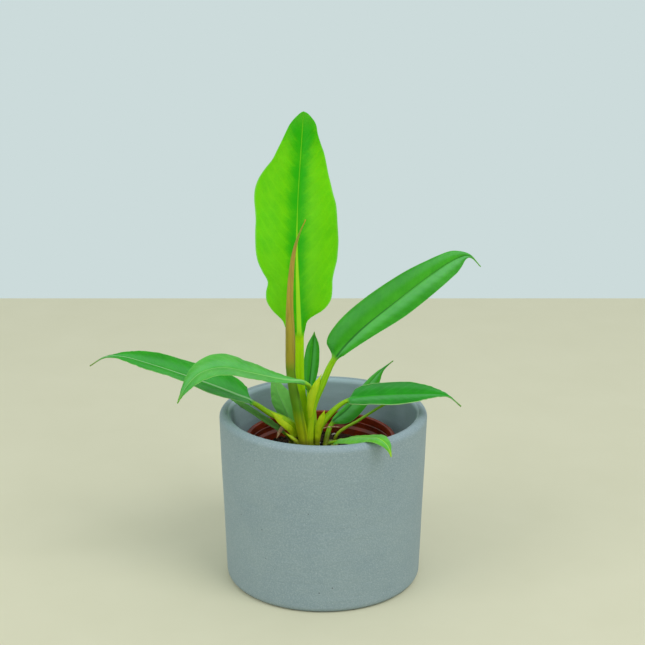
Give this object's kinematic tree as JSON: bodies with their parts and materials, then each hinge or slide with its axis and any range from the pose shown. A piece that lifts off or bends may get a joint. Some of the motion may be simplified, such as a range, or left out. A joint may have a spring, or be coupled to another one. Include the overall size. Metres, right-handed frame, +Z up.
{
  "type": "potted philodendron",
  "caption": "Young philodendron with long lance-shaped leaves and a rolled new leaf, in a plastic nursery pot that stands inside a thick round ceramic cover pot.",
  "frame": {"origin": "centre of the cover pot's flat foot, on the surface it stands on", "axes": "+Z up, +X to the right seen from the front; -Y is the front, the way the tallest leaf's face looks"},
  "size_m": [0.2507, 0.1404, 0.315],
  "materials": {
    "ceramic": "satin",
    "nursery_plastic": "satin",
    "soil": "matte",
    "stem": "satin",
    "leaf": "satin",
    "dry_sheath": "matte"
  },
  "bodies": {
    "root": {"ceramic_cover_pot": "ceramic", "nursery_pot": "nursery_plastic", "potting_soil": "soil", "main_stem": "stem", "right_stem": "stem", "left_stem": "stem", "leaf_tall": "leaf", "leaf_upper_right": "leaf", "leaf_level_right": "leaf", "leaf_arching_left": "leaf", "leaf_long_left": "leaf", "leaf_small_back": "leaf", "leaf_right_back": "leaf", "leaf_thin_right": "leaf", "leaf_over_rim": "leaf", "leaf_left_back": "leaf", "leaf_low_left": "leaf", "rolled_new_leaf": "dry_sheath", "dried_sheath": "dry_sheath"}
  },
  "joints": []
}
